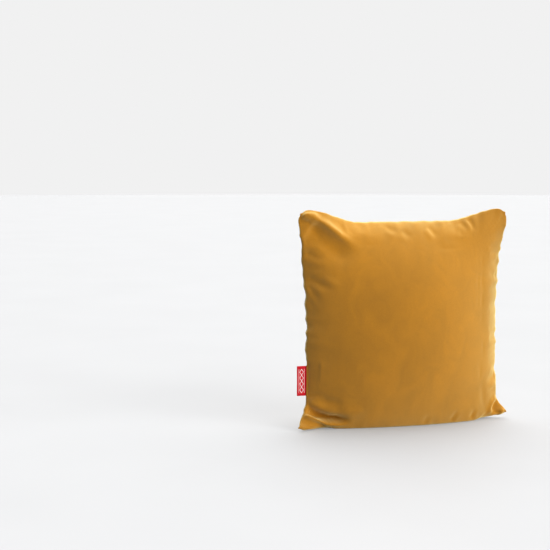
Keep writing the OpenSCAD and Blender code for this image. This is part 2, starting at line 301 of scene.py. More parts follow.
def settle(front, back, u, v):
    """Inflates the two joined panels as cloth cut flat, and returns them settled."""
    vertices, faces, numbers = shell(front, back)
    flat = shell(cut_flat(u, v, -1), cut_flat(u, v, 1))[0]
    mesh = bpy.data.meshes.new("settling")
    mesh.from_pydata([tuple(p) for p in vertices], [], faces)
    obj = collection_add(bpy.data.objects.new("settling", mesh))
    bpy.context.view_layer.objects.active = obj
    held = obj.vertex_groups.new(name="held")
    weights = held_share(u, v)
    weights = np.concatenate([weights.ravel(), weights[1:-1, 1:-1].ravel()])
    for index, weight in enumerate(weights):
        if weight > 0.001:
            held.add([index], float(weight), "REPLACE")
    obj.shape_key_add(name="Basis")
    rest = obj.shape_key_add(name="as_cut")
    rest.data.foreach_set("co", flat.astype(np.float32).ravel())
    cloth = obj.modifiers.new("Cloth", "CLOTH")
    set_cloth(cloth, rest)
    for step in range(1, SETTLE_STEPS + 1):
        bpy.context.scene.frame_set(step)
    graph = bpy.context.evaluated_depsgraph_get()
    settled = obj.evaluated_get(graph).data
    places = np.zeros(len(settled.vertices) * 3, np.float32)
    settled.vertices.foreach_get("co", places)
    places = places.reshape(-1, 3).astype(float)
    move = places - vertices
    far = np.linalg.norm(move, axis=1, keepdims=True)
    places = vertices + move * np.minimum(1, SETTLE_CAP / np.maximum(far, 1e-9))
    bpy.context.scene.frame_set(1)
    bpy.data.objects.remove(obj)
    return [places[number] for number in numbers]


def set_cloth(cloth, rest):
    settings = cloth.settings
    settings.rest_shape_key = rest
    settings.vertex_group_mass = "held"
    settings.quality = 6
    settings.mass = 0.1
    settings.tension_stiffness = 40
    settings.compression_stiffness = 40
    settings.shear_stiffness = 20
    settings.bending_stiffness = 1.0
    settings.air_damping = 5
    settings.use_pressure = True
    settings.uniform_pressure_force = 2
    settings.effector_weights.gravity = 0
    cloth.collision_settings.use_collision = False
    cloth.point_cache.frame_start = 1
    cloth.point_cache.frame_end = SETTLE_STEPS


def grid_faces(number, flip):
    """Quads over a grid of vertex numbers, number[row of x][row of z]."""
    quads = np.stack([number[:-1, :-1], number[1:, :-1], number[1:, 1:], number[:-1, 1:]], -1)
    quads = quads.reshape(-1, 4)
    return (quads[:, ::-1] if flip else quads).tolist()


def refine(points):
    """Twice as many cells each way, on smooth curves through the points."""
    for axis in (0, 1):
        p = np.moveaxis(points, axis, 0)
        before = np.concatenate([2 * p[:1] - p[1:2], p, 2 * p[-1:] - p[-2:-1]])
        middle = (9 * (p[:-1] + p[1:]) - before[:-3] - before[3:]) / 16
        out = np.empty((2 * len(p) - 1, *p.shape[1:]))
        out[::2], out[1::2] = p, middle
        points = np.moveaxis(out, 0, axis)
    return points


def normals_of(points, side):
    """Outward normals of a panel's grid."""
    along = np.gradient(points, axis=0)
    up = np.gradient(points, axis=1)
    return unit(np.cross(along, up)) * -side


# ---------------------------------------------------------------- folds in the panels

# The raised bank beside a fold: how far off it stands and how wide it is, in half widths
BANK_OFFSET, BANK_WIDTH = 1.8, 1.1
# Folds fade out at this distance from the seam, and stay this clear of the cushion's middle
FOLD_MARGIN = 7 * MM
FOLD_CLEAR = 2.2 * MM


def path_places(x, z, path):
    """Signed distance of each (x, z) to a path, left of it positive, and its share along it."""
    path = np.array(path, float) * MM
    steps = np.diff(path, axis=0)
    lengths = np.hypot(steps[:, 0], steps[:, 1])
    starts = np.concatenate([[0], np.cumsum(lengths)])
    best = np.full(x.shape, 1e9)
    signed = np.zeros(x.shape)
    share = np.zeros(x.shape)
    for k, (a, d, length) in enumerate(zip(path, steps, lengths)):
        px, pz = x - a[0], z - a[1]
        t = np.clip((px * d[0] + pz * d[1]) / length**2, 0, 1)
        dx, dz = px - t * d[0], pz - t * d[1]
        away = np.hypot(dx, dz)
        closer = away < best
        side = np.sign(d[0] * pz - d[1] * px)
        best = np.where(closer, away, best)
        signed = np.where(closer, away * side, signed)
        share = np.where(closer, (starts[k] + t * length) / starts[-1], share)
    return signed, share


def press_fold(points, normals, path, depth, width, bank, fade=(0.15, 0.6), sharp=1.0):
    """Presses a valley of a depth and half width, in mm, into a panel along a path of (x, z).
    fade is the share of the path that each end takes. sharp narrows the valley's right side, and
    bank raises the cloth there."""
    signed, share = path_places(points[..., 0], points[..., 2], path)
    ends = smooth(share / fade[0]) * smooth((1 - share) / fade[1])
    above, below = width * MM, width * sharp * MM
    valley = np.exp(-((signed / np.where(signed > 0, above, below)) ** 2))
    ridge = np.exp(-(((signed + BANK_OFFSET * below) / (BANK_WIDTH * below)) ** 2))
    move = (bank * ridge - depth * valley) * ends * MM
    return points + normals * move[..., None]


# Folds of the panels: path of (x, z), depth, half width and bank in millimetres, and fade and
# sharp where they aren't the usual ones. A negative depth is a ridge.
FRONT_FOLDS = [
    # The top left ear: a ridge that runs down from its tip, and the hollow under it
    (
        [(-222, 433), (-196, 423), (-172, 407), (-150, 391), (-124, 372), (-96, 356)],
        -9.0, 9, 0, (0.06, 0.6),
    ),
    ([(-210, 400), (-192, 388), (-170, 371), (-144, 352), (-112, 330)], 10.0, 20, 0, (0.12, 0.5)),
    # Puckers that fan out from the left seam
    ([(-212, 352), (-190, 344), (-165, 340)], 2.4, 7, 0.8),
    ([(-210, 322), (-190, 322), (-172, 326)], 1.2, 6, 0.5),
    ([(-207, 304), (-186, 293), (-160, 278)], 2.6, 7, 0.4),
    ([(-185, 306), (-165, 297), (-142, 284)], -1.8, 7, 0, (0.3, 0.5)),
    ([(-206, 288), (-192, 268), (-182, 248)], 2.0, 6, 1.0),
    ([(-205, 262), (-196, 244), (-190, 228)], 1.2, 5, 0.6),
    ([(-206, 64), (-190, 69), (-172, 72)], 2.0, 5, 0.6, (0.1, 0.6)),
    # The bottom left ear, folded forward under a deep crease
    (
        [(-215, 38), (-202, 33), (-186, 26), (-168, 20), (-148, 18), (-122, 18)],
        27.0, 8.5, 8.0, (0.06, 0.45), 0.5,
    ),
    ([(-206, 54), (-184, 44), (-160, 36), (-136, 35)], -2.5, 9, 0, (0.15, 0.5)),
    ([(-186, 62), (-162, 56), (-138, 54)], 2.5, 8, 0, (0.3, 0.4)),
    ([(-150, 36), (-122, 34), (-90, 36)], -2.0, 12, 0, (0.3, 0.4)),
    # The bottom right ear, curled away from the body round a small hollow
    ([(213, 33), (205, 28), (200, 20), (200, 8)], 9.0, 7, 4.0, (0.10, 0.30), 0.8),
    ([(222, 22), (217, 14), (214, 6)], -3.0, 5, 0, (0.3, 0.3)),
    ([(202, 0), (208, 6), (214, 9)], 2.0, 5, 0.0, (0.2, 0.4)),
    # Soft dimples under the top seam
    ([(-46, 404), (-34, 396), (-18, 394)], 1.4, 6, 0.8, (0.3, 0.5)),
    ([(-12, 397), (-2, 386), (4, 376)], 1.6, 7, 0.8, (0.3, 0.5)),
    ([(46, 404), (53, 392), (62, 378)], 2.0, 6, 1.2, (0.25, 0.5)),
    ([(118, 412), (128, 400), (132, 388)], 1.4, 6, 0.8, (0.25, 0.5)),
    ([(136, 418), (143, 404), (146, 388)], 2.4, 5, 1.6, (0.2, 0.5)),
    # The right side
    ([(212, 330), (196, 326), (180, 328)], 1.6, 6, 0.8),
    ([(206, 296), (190, 300), (174, 308)], 1.4, 7, 0.6),
    ([(204, 92), (188, 84), (172, 82)], 1.8, 7, 0.8),
    ([(206, 62), (190, 60), (176, 64)], 1.4, 6, 0.6),
    # The bottom edge
    ([(92, 6), (98, 16), (104, 30)], 1.8, 5, 0.8, (0.1, 0.6)),
    ([(140, 6), (144, 16), (146, 28)], 2.0, 5, 1.0, (0.1, 0.6)),
    ([(30, 4), (34, 14), (42, 26)], 1.2, 6, 0.6, (0.1, 0.6)),
]
BACK_FOLDS = [
    ([(-222, 430), (-180, 396), (-130, 352), (-90, 318)], -2.5, 15, 0, (0.1, 0.5)),
    ([(222, 430), (182, 398), (140, 366), (104, 342)], -3.0, 14, 0, (0.1, 0.5)),
    ([(150, 404), (132, 386), (120, 364)], 2.4, 8, 0.8, (0.15, 0.5)),
    ([(212, 340), (190, 330), (166, 326)], 2.4, 7, 1.0),
    ([(208, 300), (186, 300), (160, 306)], 2.0, 7, 0.8),
    ([(-208, 312), (-186, 306), (-160, 308)], 2.2, 7, 1.0),
    ([(-206, 262), (-188, 266), (-168, 276)], 1.6, 6, 0.8),
    ([(214, 38), (190, 26), (164, 18), (140, 14)], 5.0, 8, 2.0, (0.1, 0.5)),
    ([(-214, 40), (-190, 28), (-166, 20), (-140, 16)], 4.0, 8, 2.0, (0.1, 0.5)),
    ([(60, 404), (66, 388), (76, 372)], 1.8, 6, 0.8, (0.2, 0.5)),
    ([(-66, 402), (-58, 386), (-46, 374)], 1.6, 7, 0.8, (0.2, 0.5)),
]


def press_folds(points, other, side, folds, u, v):
    """Presses each fold in turn. They fade out at the seam, which both panels share. What goes
    inwards never reaches the other panel."""
    start = points
    for each in folds:
        points = press_fold(points, normals_of(points, side), *each)
    inside = (1 - np.maximum(np.abs(u), np.abs(v))) * CUT / 2
    move = (points - start) * smooth(inside / FOLD_MARGIN)[..., None]
    far = np.linalg.norm(move, axis=-1, keepdims=True) + 1e-9
    room = np.linalg.norm(other - start, axis=-1, keepdims=True) / 2 - FOLD_CLEAR
    most = np.maximum(room, 0.1 * MM)
    outward = (move * normals_of(start, side)).sum(-1, keepdims=True) > 0
    return start + move * np.where(outward, 1, np.tanh(far / most) * most / far)


# ---------------------------------------------------------------- the panels

# Rows of a panel past its seam line: millimetres outwards and sideways from the seam, where it
# is sewn shut and where the zip holds it open, and the lip that stands up beside the zip
SEWN_ROWS = [(1.10, 0.80), (1.35, 0.28), (0.40, 0.20), (-2.0, 0.25), (-7.0, 0.25), (-12.0, 0.30)]
ZIP_ROWS = [(1.10, 2.00), (0.90, 1.30), (0.30, 1.00), (-0.9, 1.15), (-1.15, 6.0), (-1.15, 13.0)]
ZIP_LIP = (0.70, 2.90)
# The same rows of the pad's casing, which is sewn all round
CASING_ROWS = [(0.50, 0.40), (0.60, 0.15), (0.20, 0.10), (-1.0, 0.12), (-3.0, 0.12), (-6.0, 0.15)]
# Each allowance gives way this much to the label's ends between them, and closes over this length
LABEL_SLIT, SLIT_FADE = 0.55 * MM, 12 * MM
# The allowances are trimmed towards the corners, by this share of the way to them
CORNER_TRIM = 0.22
# The cloth beside a seam stands up to this height, over this many cells
SHOULDER = 2.3 * MM
SHOULDER_CELLS = 2.2
# How many cells into a panel the facing of its seam is taken
FACING_CELLS = 5


def ring_numbers(n):
    """Grid places round the edge of a panel, from its lower left corner along the bottom."""
    bottom = [(i, 0) for i in range(n)]
    right = [(n, j) for j in range(n)]
    top = [(n - i, n) for i in range(n)]
    left = [(0, n - j) for j in range(n)]
    return np.array(bottom + right + top + left)


def smooth_ring(values, passes):
    for _ in range(passes):
        values = (np.roll(values, 1, 0) + 2 * values + np.roll(values, -1, 0)) / 4
    return values


def seam_frame(front, back, u, v):
    """For each point of the seam: its place, the ways outwards and to the front, how much of the
    zip and of the label's slit is there, and how deep the allowance is at most."""
    n = len(front) - 1
    ring = ring_numbers(n)
    inside = np.clip(ring, FACING_CELLS, n - FACING_CELLS)
    at = front[ring[:, 0], ring[:, 1]]
    along = unit(np.roll(at, -1, 0) - np.roll(at, 1, 0))
    facing = front[inside[:, 0], inside[:, 1]] - back[inside[:, 0], inside[:, 1]]
    facing = smooth_ring(facing, 4)
    facing = unit(facing - (facing * along).sum(1, keepdims=True) * along)
    outward = unit(smooth_ring(np.cross(along, facing), 2))
    ring_u, ring_v = u[ring[:, 0], ring[:, 1]], v[ring[:, 0], ring[:, 1]]
    zipped = np.where(ring_v <= -1, 1 - rising(np.abs(ring_u), ZIP_REACH, ZIP_FADE), 0)
    past_label = np.abs(at[:, 2] - LABEL_MIDDLE) - LABEL_HALF - 2 * MM
    slit = np.where(ring_u <= -1, 1 - smooth(past_label / SLIT_FADE), 0)
    to_corner = (1 - np.minimum(np.abs(ring_u), np.abs(ring_v))) * CUT / 2
    return {
        "at": at, "out": outward, "front": facing, "zip": zipped, "slit": slit, "ring": ring,
        "deepest": to_corner * CORNER_TRIM + 0.4 * MM,
    }


def seam_rows(seam, side, sewn_rows, zip_rows):
    """The rows of a panel past its seam line, each a ring of points."""
    rows = []
    sideways = -side * seam["front"]
    zipped = seam["zip"][:, None]
    for number, (sewn, at_zip) in enumerate(zip(sewn_rows, zip_rows)):
        out = mix(sewn[0], at_zip[0], zipped) * MM
        out = np.maximum(out, -seam["deepest"][:, None])
        aside = mix(sewn[1], at_zip[1], zipped) * MM
        if number > 0:
            aside = aside + LABEL_SLIT * seam["slit"][:, None]
        row = seam["at"] + out * seam["out"] + aside * sideways
        row[:, 2] = np.maximum(row[:, 2], FLOOR_PRESS / 2)
        rows.append(row)
    return rows


def edge_steps(n):
    """How many cells each point of a grid is from the grid's edge."""
    steps = np.minimum(np.arange(n + 1), n - np.arange(n + 1))
    return np.minimum(steps[:, None], steps[None, :])


def build_panel(name, points, side, seam, rows, thickness, shoulder, look):
    """A panel: its face, the rim of its seam and its turned-in allowance. rows are the sewn and
    zipped rows past the seam line, and look is its material slot."""
    n = len(points) - 1
    lift = shoulder * np.exp(-edge_steps(n) / SHOULDER_CELLS)
    near = slice(0, 4 * round(SHOULDER_CELLS) + 1)
    lift[:, near] *= 1 - seam["zip"][: n + 1, None]
    up_left = np.concatenate([seam["slit"][:1], seam["slit"][:-n - 1 : -1]])
    lift[near] *= 1 - up_left
    face = points + normals_of(points, side) * lift[..., None]
    lip = ZIP_LIP[0] * seam["out"] - side * ZIP_LIP[1] * seam["front"]
    face[seam["ring"][:, 0], seam["ring"][:, 1]] += lip * seam["zip"][:, None] * MM
    number = np.arange((n + 1) ** 2).reshape(n + 1, n + 1)
    vertices = [face.reshape(-1, 3)]
    faces = grid_faces(number, side > 0)
    last = number[seam["ring"][:, 0], seam["ring"][:, 1]]
    count = (n + 1) ** 2
    for row in seam_rows(seam, side, *rows):
        new = count + np.arange(len(row))
        strip = np.stack([last, new, np.roll(new, -1), np.roll(last, -1)], -1)
        faces += (strip[:, ::-1] if side > 0 else strip).tolist()
        vertices.append(row)
        last, count = new, count + len(row)
    obj = mesh_object(name, np.concatenate(vertices), faces, "cushion", look)
    thicken(obj, thickness)
    return obj


# ---------------------------------------------------------------- materials

class Graph:
    """A material's node tree, with short calls to build it."""

    def __init__(self, name):
        self.material = bpy.data.materials.new(name)
        self.material.use_nodes = True
        self.tree = self.material.node_tree
        self.shader = self.tree.nodes["Principled BSDF"]
        self.place = self.add("ShaderNodeTexCoord").outputs["Object"]

    def add(self, kind, sockets=None, **settings):
        node = self.tree.nodes.new(kind)
        for key, value in settings.items():
            setattr(node, key, value)
        for key, value in (sockets or {}).items():
            self.put(node, key, value)
        return node

    def put(self, node, key, value):
        if isinstance(value, bpy.types.NodeSocket):
            self.tree.links.new(value, node.inputs[key])
        else:
            node.inputs[key].default_value = value

    def set(self, **values):
        """Sockets of the shader, by their names with _ for each space."""
        for key, value in values.items():
            self.put(self.shader, key.replace("_", " "), value)

    def math(self, operation, a, b=0.0, c=0.0):
        return self.add("ShaderNodeMath", {0: a, 1: b, 2: c}, operation=operation).outputs[0]

    def stretched(self, scale):
        return self.add("ShaderNodeMapping", {"Vector": self.place, "Scale": scale}).outputs[0]

    def noise(self, scale, detail=2.0, distortion=0.0, vector=None, roughness=0.5):
        sockets = {
            "Vector": vector or self.place, "Scale": scale, "Detail": detail,
            "Distortion": distortion, "Roughness": roughness,
        }
        return self.add("ShaderNodeTexNoise", sockets).outputs[0]

    def ramp(self, value, stops):
        node = self.add("ShaderNodeValToRGB", {0: value})
        ramp = node.color_ramp
        while len(ramp.elements) < len(stops):
            ramp.elements.new(0.5)
        for element, (place, colour) in zip(ramp.elements, stops):
            element.position = place
            element.color = (*colour, 1)
        return node.outputs[0]

    def between(self, value, low, high):
        """From low to high, as value goes 0 to 1."""
        return self.add("ShaderNodeMapRange", {0: value, 3: low, 4: high}).outputs[0]

    def shade(self, colour, value, low, high):
        """colour made darker or lighter, from low times to high times it, as value goes 0 to 1."""
        node = self.add("ShaderNodeVectorMath", {0: colour}, operation="SCALE")
        self.put(node, "Scale", self.between(value, low, high))
        return node.outputs[0]

    def bump(self, height, distance, strength=1.0, below=None):
        sockets = {"Height": height, "Distance": distance, "Strength": strength}
        if below is not None:
            sockets["Normal"] = below
        return self.add("ShaderNodeBump", sockets).outputs[0]


def velvet():
    """Short-pile cotton velvet: nap that lies this way and that, and a soft sheen."""
    g = Graph("velvet")
    nap = g.noise(7.0, 3.0, 0.6, g.stretched((1.0, 1.0, 0.6)))
    strokes = g.noise(24.0, 3.0, 1.2, g.stretched((1.0, 1.0, 0.75)))
    pile = g.noise(900.0, 2.0, 0.0, g.stretched((1.0, 1.0, 0.5)))
    colour = g.ramp(nap, [(0.30, (0.32, 0.117, 0.0)), (0.70, (0.40, 0.147, 0.0))])
    colour = g.shade(colour, strokes, 0.80, 1.20)
    colour = g.shade(colour, pile, 0.80, 1.20)
    g.set(Base_Color=colour, Roughness=0.85, Specular_IOR_Level=0.0)
    g.set(Sheen_Weight=1.0, Sheen_Roughness=0.60, Sheen_Tint=(1.0, 0.87, 0.38, 1))
    soft = g.bump(strokes, 0.6 * MM, 0.5)
    g.set(Normal=g.bump(pile, 0.12 * MM, 0.5, soft))
    return g.material


def woven(name, colour, across, along, pitch, contrast=0.16, sheen=0.1, roughness=0.8):
    """A plain weave: two sets of threads, at a pitch in metres, along two axes of the object."""
    g = Graph(name)
    split = g.add("ShaderNodeSeparateXYZ", {0: g.place})
    waves = []
    for axis in (across, along):
        turns = g.math("MULTIPLY", split.outputs[axis], 2 * math.pi / pitch)
        waves.append(g.math("SINE", turns))
    height = g.math("MULTIPLY_ADD", g.math("MULTIPLY", *waves), 0.5, 0.5)
    slub = g.noise(160.0, 3.0, 0.4)
    cloud = g.noise(18.0, 2.0, 0.2)
    base = g.ramp(cloud, [(0.3, colour), (0.7, tuple(0.9 * c for c in colour))])
    base = g.shade(base, height, 1 - contrast, 1.0)
    g.set(Base_Color=g.shade(base, slub, 0.92, 1.08), Roughness=roughness)
    g.set(Sheen_Weight=sheen, Specular_IOR_Level=0.3)
    g.set(Normal=g.bump(height, 0.3 * pitch, 0.6, g.bump(slub, 0.1 * MM, 0.4)))
    return g.material


def thread(name, colour):
    """Twisted sewing thread."""
    g = Graph(name)
    twist = {"Vector": g.stretched((1.0, 0.6, 0.8)), "Scale": 900.0, "Distortion": 0.5}
    ply = g.add("ShaderNodeTexWave", twist, bands_direction="DIAGONAL").outputs["Fac"]
    fuzz = g.noise(1500.0, 2.0)
    base = g.ramp(fuzz, [(0.3, colour), (0.7, tuple(0.85 * c for c in colour))])
    g.set(Base_Color=g.shade(base, ply, 0.7, 1.05), Roughness=0.6, Sheen_Weight=0.2)
    g.set(Normal=g.bump(ply, 0.08 * MM, 0.7))
    return g.material


# The label's motif: half the height of a lozenge and its slope, the place of the border lines,
# and the strip beside the seam that the motif keeps clear of
LOZENGE, LOZENGE_SLOPE = 6 * MM, 0.62
BORDER_REACH = 5.6 * MM
LABEL_SEAM_SIDE = 2.2 * MM


def red_ribbon():
    """Woven red ribbon with a generic motif of pale lozenges between two lines."""
    g = Graph("red_ribbon")
    split = g.add("ShaderNodeSeparateXYZ", {0: g.place})
    x, z = split.outputs[0], split.outputs[2]
    middle_x = (LABEL_LOW.x + LABEL_SEAM_SIDE + LABEL_HIGH.x) / 2
    reach = g.math("ABSOLUTE", g.math("SUBTRACT", x, middle_x))
    level = g.math("SUBTRACT", z, LABEL_MIDDLE)
    inside = g.math("LESS_THAN", g.math("ABSOLUTE", level), 4 * LOZENGE)
    zigzag = g.math("MULTIPLY", g.math("PINGPONG", level, LOZENGE), LOZENGE_SLOPE)
    off_zigzag = g.math("ABSOLUTE", g.math("SUBTRACT", reach, zigzag))
    lozenges = g.math("LESS_THAN", off_zigzag, 0.55 * MM)
    off_border = g.math("ABSOLUTE", g.math("SUBTRACT", reach, BORDER_REACH))
    border = g.math("LESS_THAN", off_border, 0.3 * MM)
    near = g.math("LESS_THAN", reach, 4.4 * MM)
    motif = g.math("MULTIPLY", g.math("MULTIPLY", lozenges, inside), near)
    motif = g.math("MAXIMUM", motif, g.math("MULTIPLY", border, inside))
    threads = g.math("SINE", g.math("MULTIPLY", z, 2 * math.pi / (0.45 * MM)))
    ribs = g.math("SINE", g.math("MULTIPLY", x, 2 * math.pi / (0.6 * MM)))
    height = g.math("MULTIPLY_ADD", g.math("MULTIPLY", threads, ribs), 0.5, 0.5)
    colour = g.ramp(motif, [(0.0, (0.58, 0.004, 0.014)), (1.0, (0.86, 0.78, 0.76))])
    colour = g.shade(colour, height, 0.78, 1.05)
    g.set(Base_Color=g.shade(colour, g.noise(300.0, 2.0), 0.9, 1.1), Roughness=0.5)
    g.set(Specular_IOR_Level=0.12)
    raised = g.bump(motif, 0.10 * MM, 0.6)
    g.set(Normal=g.bump(height, 0.12 * MM, 0.6, raised))
    return g.material


def brass():
    """Antique brass plating: lightly brushed, duller where it is handled."""
    g = Graph("zip_metal")
    brush = g.noise(600.0, 3.0, 0.0, g.stretched((0.15, 1.0, 1.0)))
    age = g.noise(120.0, 3.0, 0.3)
    colour = g.ramp(age, [(0.25, (0.20, 0.13, 0.05)), (0.65, (0.52, 0.38, 0.16))])
    g.set(Base_Color=g.shade(colour, brush, 0.85, 1.1), Metallic=1.0)
    g.set(Roughness=g.between(brush, 0.28, 0.48))
    g.set(Normal=g.bump(brush, 0.02 * MM, 0.5))
    return g.material


def nylon():
    """Moulded nylon teeth."""
    g = Graph("zip_coil")
    flow = g.noise(400.0, 3.0, 0.5)
    colour = g.ramp(flow, [(0.3, (0.33, 0.16, 0.025)), (0.7, (0.42, 0.21, 0.035))])
    g.set(Base_Color=colour, Specular_IOR_Level=0.5, Roughness=g.between(flow, 0.30, 0.42))
    g.set(Normal=g.bump(flow, 0.02 * MM, 0.4))
    return g.material


def fibre():
    """Lofty hollow polyester fibre."""
    g = Graph("fibre")
    strands = g.noise(260.0, 4.0, 1.8, g.stretched((1.0, 1.0, 0.35)), 0.7)
    cells = {"Vector": g.place, "Scale": 45.0}
    clumps = g.add("ShaderNodeTexVoronoi", cells, feature="SMOOTH_F1").outputs[0]
    colour = g.ramp(clumps, [(0.1, (0.86, 0.86, 0.84)), (0.7, (0.70, 0.70, 0.68))])
    g.set(Base_Color=g.shade(colour, strands, 0.85, 1.08), Roughness=0.9)
    g.set(Sheen_Weight=0.3)
    g.set(Normal=g.bump(strands, 0.8 * MM, 0.8, g.bump(clumps, 3 * MM, 0.4)))
    return g.material


# How brightly the floor glows for the camera
FLOOR_GLOW = 0.25


def floor_paint():
    """Plain pale paint. It glows a little for the camera alone, so that it meets the backdrop."""
    g = Graph("studio_floor")
    grain = g.noise(3.0, 2.0)
    colour = g.ramp(grain, [(0.3, (0.248, 0.250, 0.254)), (0.7, (0.258, 0.260, 0.264))])
    g.set(Base_Color=colour, Roughness=0.6, Specular_IOR_Level=0.1)
    seen = g.add("ShaderNodeLightPath").outputs["Is Camera Ray"]
    g.set(Emission_Color=(1, 1, 1, 1), Emission_Strength=g.math("MULTIPLY", seen, FLOOR_GLOW))
    return g.material


MATERIALS = {
    "velvet": velvet(),
    "cover_thread": thread("cover_thread", (0.40, 0.19, 0.03)),
    "zip_tape": woven("zip_tape", (0.40, 0.19, 0.03), 0, 1, 0.8 * MM, 0.3),
    "zip_coil": nylon(),
    "zip_metal": brass(),
    "red_ribbon": red_ribbon(),
    "white_ribbon": woven("white_ribbon", (0.84, 0.83, 0.80), 0, 2, 0.5 * MM, 0.12, 0.1, 0.45),
    "cambric": woven("cambric", (0.80, 0.78, 0.72), 0, 2, 0.6 * MM, 0.15),
    "pad_thread": thread("pad_thread", (0.80, 0.78, 0.74)),
    "fibre": fibre(),
}


# ---------------------------------------------------------------- the cover

def press_up(z, floor, softness):
    """Heights pressed up off a floor, softly."""
    lifted = z - floor
    return floor + 0.5 * (lifted + np.sqrt(lifted**2 + softness**2))


def make_cover():
    """Both panels of the cover, settled, folded and with their allowances."""
    u, v = square(CELLS)
    sides = []
    for side in (-1, 1):
        sides.append(seed_puckers(shape_ears(stuffed(u, v, side), u, v), u, v))
    sides = settle(*sides, u, v)
    front, back = (refine(p) for p in sides)
    fine_u, fine_v = (refine(a[..., None])[..., 0] for a in (u, v))
    for panel in (front, back):
        panel[..., 2] = press_up(panel[..., 2], 0, FLOOR_PRESS)
    seam = seam_frame(front, back, fine_u, fine_v)
    unfolded = (front, back)
    front = press_folds(front, back, -1, FRONT_FOLDS, fine_u, fine_v)
    back = press_folds(back, unfolded[0], 1, BACK_FOLDS, fine_u, fine_v)
    for panel in (front, back):
        panel[..., 2] = np.maximum(panel[..., 2], FLOOR_PRESS / 2)
    for name, points, side in (("front_panel", front, -1), ("back_panel", back, 1)):
        rows = (SEWN_ROWS, ZIP_ROWS)
        panel = build_panel(name, points, side, seam, rows, VELVET, SHOULDER, "velvet")
        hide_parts("cover_" + name)
    return {"front": front, "back": back, "seam": seam, "unfolded": unfolded}


COVER = make_cover()


# ---------------------------------------------------------------- the pad inside the cover

# The casing lies this far behind the cover, and reaches these shares of the way to its seams
PAD_DEPTH = 3.4 * MM
PAD_SIDE_REACH, PAD_TOP_REACH, PAD_BOTTOM_REACH = 0.93, 0.95, 0.86
# Its corners stay out of the cover's ears by this share
PAD_CORNER = 0.17
# It closes on its seam by these powers
PAD_SEAM_DIP, PAD_SEAM_ROUND = 5, 0.6
# It hangs clear of the zip, above this height, and turns up there this softly
PAD_FLOOR, PAD_FLOOR_SOFTNESS = 21 * MM, 6 * MM
PAD_CELLS = 64
CAMBRIC = 0.4 * MM
PAD_SHOULDER = 0.5 * MM
# How many of the cover's cells its folds press the pad beyond their own edges
FOLD_SPREAD = 3
# The filling's clearance inside the casing, and how much it varies
FILL_DEPTH, FILL_LUMPS = 2.2 * MM, 1.6 * MM
FILL_SHARE = (0.955, 1, 0.96)


def sample(points, u, v):
    """Points of a fine grid at any (u, v), between its own points."""
    n = len(points) - 1
    places = refine(np.tile(spacing(CELLS)[:, None, None], (1, 2, 1)))[:, 0, 0]
    at_u, at_v = (np.interp(a, places, np.arange(n + 1)) for a in (u, v))
    i, j = (np.clip(np.floor(a).astype(int), 0, n - 1) for a in (at_u, at_v))
    s, t = (at_u - i)[..., None], (at_v - j)[..., None]
    low = mix(points[i, j], points[i + 1, j], s)
    high = mix(points[i, j + 1], points[i + 1, j + 1], s)
    return mix(low, high, t)


def pressed_in(side):
    """How far the cover's folds press in, spread a little wider than the folds themselves."""
    plain = COVER["unfolded"][0 if side < 0 else 1]
    folded = COVER["front" if side < 0 else "back"]
    depth = np.maximum(((plain - folded) * normals_of(plain, side)).sum(-1), 0)
    for _ in range(FOLD_SPREAD):
        for axis in (0, 1):
            beside = np.maximum(np.roll(depth, 1, axis), np.roll(depth, -1, axis))
            depth = np.maximum(depth, beside)
    return depth[..., None]


def pad_surface(side, u, v):
    """The pad's casing on one side: it follows the cover from inside, and closes on its own
    seam."""
    cover = COVER["unfolded"][0 if side < 0 else 1]
    corner = 1 - PAD_CORNER * (np.abs(u) * np.abs(v)) ** 5
    inside_u = PAD_SIDE_REACH * u * corner
    inside_v = np.where(v > 0, PAD_TOP_REACH, PAD_BOTTOM_REACH) * v * corner
    normals = sample(normals_of(cover, side), inside_u, inside_v)
    depth = PAD_DEPTH + sample(pressed_in(side), inside_u, inside_v)
    points = sample(cover, inside_u, inside_v) - unit(normals) * depth
    edge = np.maximum(np.abs(u), np.abs(v))
    points[..., 1] *= (1 - edge**PAD_SEAM_DIP) ** PAD_SEAM_ROUND
    points[..., 2] = press_up(points[..., 2], PAD_FLOOR, PAD_FLOOR_SOFTNESS)
    return points


def make_pad():
    """The pad's casing and its filling. It returns the frame of the casing's seam."""
    u, v = square(PAD_CELLS)
    front, back = pad_surface(-1, u, v), pad_surface(1, u, v)
    seam_line = (front + back) / 2
    border = edge_steps(PAD_CELLS) == 0
    for panel in (front, back):
        panel[border] = seam_line[border]
    seam = seam_frame(front, back, u, v)
    for opening in ("zip", "slit"):
        seam[opening] = 0 * seam[opening]
    for name, points, side in (("front_panel", front, -1), ("back_panel", back, 1)):
        rows = (CASING_ROWS, CASING_ROWS)
        piece = name.replace("panel", "casing")
        casing = build_panel(piece, points, side, seam, rows, CAMBRIC, PAD_SHOULDER, "cambric")
        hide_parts("pad_" + name)
    make_filling(front, back)
    return seam


def make_filling(front, back):
    """One lofty body of fibre that fills the casing."""
    middle = np.array([0, 0, MID_Z])
    steps = edge_steps(PAD_CELLS)
    halves = []
    for points, side in ((front, -1), (back, 1)):
        shrunk = middle + (points - middle) * np.array(FILL_SHARE)
        loft = FILL_DEPTH + FILL_LUMPS * (1 + wander(points, 28, 7)) / 2
        open_share = np.minimum(1, steps / 4)
        halves.append(shrunk - normals_of(points, side) * (loft * open_share)[..., None])
    halves[0][steps == 0] = halves[1][steps == 0]
    vertices, faces, _ = shell(*halves)
    filling = mesh_object("filling", vertices, faces, "cushion", "fibre")
    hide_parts("pad_filling")


PAD_SEAM = make_pad()


# ---------------------------------------------------------------- ribbons and tapes

RIBBON = 0.35 * MM
TAPE = 0.4 * MM
# How far the label's loop stands open on each side: at its fold and seam, and more between them
LOOP_OPEN, LOOP_BELLY = 0.42 * MM, 0.28 * MM
LOOP_WAVE = 0.35 * MM


